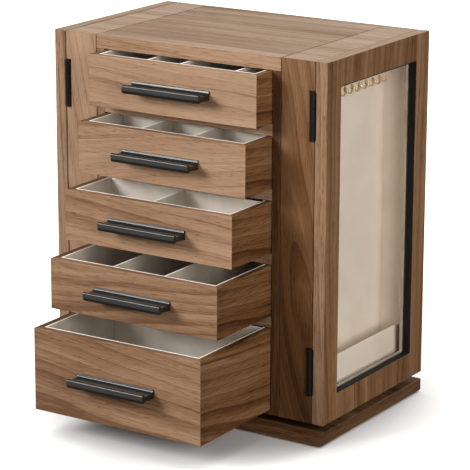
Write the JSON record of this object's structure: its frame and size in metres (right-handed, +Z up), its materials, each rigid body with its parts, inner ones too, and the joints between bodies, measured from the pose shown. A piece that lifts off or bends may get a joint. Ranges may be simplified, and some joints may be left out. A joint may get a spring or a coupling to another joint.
{
  "type": "rotating jewelry box",
  "caption": "Wooden jewellery cabinet that turns on a low base, with stacked fabric-lined drawers with black bar pulls and a glazed hinged door over a necklace case on each side.",
  "frame": {"origin": "on the standing plane, under the felt of the base, on the axis of the turntable", "axes": "+X to the right along the drawer fronts, +Y from the drawers to the back, +Z up"},
  "size_m": [0.3, 0.3275, 0.3616],
  "materials": {
    "walnut": "satin veneer",
    "dark_walnut": "satin veneer",
    "beige_fabric": "fine woven lining",
    "felt": "felt",
    "black_metal": "satin black",
    "black_rubber": "matt",
    "glass": "clear",
    "brass": "polished",
    "steel": "zinc plated"
  },
  "bodies": {
    "base": {"base_felt": "felt", "base_plate": "dark_walnut", "turntable_lower_plate": "steel", "turntable_lower_screws": "steel", "turntable_balls": "steel", "turntable_pivot": "steel"},
    "cabinet": {"turntable_upper_plate": "steel", "turntable_upper_screws": "steel", "bottom_panel": "walnut", "top_panel": "walnut", "partitions": "walnut", "back_panel": "walnut", "drawer_shelves": "walnut", "drawer_stop_pegs": "walnut", "case_linings": "beige_fabric", "necklace_hooks": "brass", "case_hinge_leaves": "black_metal", "hinge_pins": "black_metal", "case_magnets": "steel", "right_case_front": "walnut", "left_case_front": "walnut", "right_case_shell": "walnut", "left_case_shell": "walnut", "right_pocket": "beige_fabric", "left_pocket": "beige_fabric"},
    "left_door": {"left_door_frame": "walnut", "left_door_glass": "glass", "left_window_gasket": "black_rubber", "left_door_hinge_leaves": "black_metal", "left_strike_plates": "steel"},
    "right_door": {"right_door_frame": "walnut", "right_door_glass": "glass", "right_window_gasket": "black_rubber", "right_door_hinge_leaves": "black_metal", "right_strike_plates": "steel"},
    "drawer_1": {"drawer_1_front": "walnut", "drawer_1_box": "walnut", "drawer_1_liner": "beige_fabric", "drawer_1_handle": "black_metal", "drawer_1_screws": "steel"},
    "drawer_2": {"drawer_2_front": "walnut", "drawer_2_box": "walnut", "drawer_2_liner": "beige_fabric", "drawer_2_handle": "black_metal", "drawer_2_screws": "steel"},
    "drawer_3": {"drawer_3_front": "walnut", "drawer_3_box": "walnut", "drawer_3_liner": "beige_fabric", "drawer_3_handle": "black_metal", "drawer_3_screws": "steel"},
    "drawer_4": {"drawer_4_front": "walnut", "drawer_4_box": "walnut", "drawer_4_liner": "beige_fabric", "drawer_4_handle": "black_metal", "drawer_4_screws": "steel"},
    "drawer_5": {"drawer_5_front": "walnut", "drawer_5_box": "walnut", "drawer_5_liner": "beige_fabric", "drawer_5_handle": "black_metal", "drawer_5_screws": "steel"}
  },
  "joints": [
    {"name": "turntable_spin", "type": "hinge", "parent": "base", "child": "cabinet", "pos_m": [0, 0, 0.01755], "axis": [0, 0, 1], "continuous": true},
    {"name": "right_door_swing", "type": "hinge", "parent": "cabinet", "child": "right_door", "pos_m": [0.1348, -0.095, 0.01755], "axis": [0, 0, -1], "range_deg": [0, 170]},
    {"name": "left_door_swing", "type": "hinge", "parent": "cabinet", "child": "left_door", "pos_m": [-0.1348, -0.095, 0.01755], "axis": [0, 0, 1], "range_deg": [0, 170]},
    {"name": "drawer_1_slide", "type": "slide", "parent": "cabinet", "child": "drawer_1", "axis": [0, -1, 0], "range_m": [-0.026, 0.104]},
    {"name": "drawer_2_slide", "type": "slide", "parent": "cabinet", "child": "drawer_2", "axis": [0, -1, 0], "range_m": [-0.044, 0.086]},
    {"name": "drawer_3_slide", "type": "slide", "parent": "cabinet", "child": "drawer_3", "axis": [0, -1, 0], "range_m": [-0.066, 0.064]},
    {"name": "drawer_4_slide", "type": "slide", "parent": "cabinet", "child": "drawer_4", "axis": [0, -1, 0], "range_m": [-0.09, 0.04]},
    {"name": "drawer_5_slide", "type": "slide", "parent": "cabinet", "child": "drawer_5", "axis": [0, -1, 0], "range_m": [-0.117, 0.013]}
  ]
}
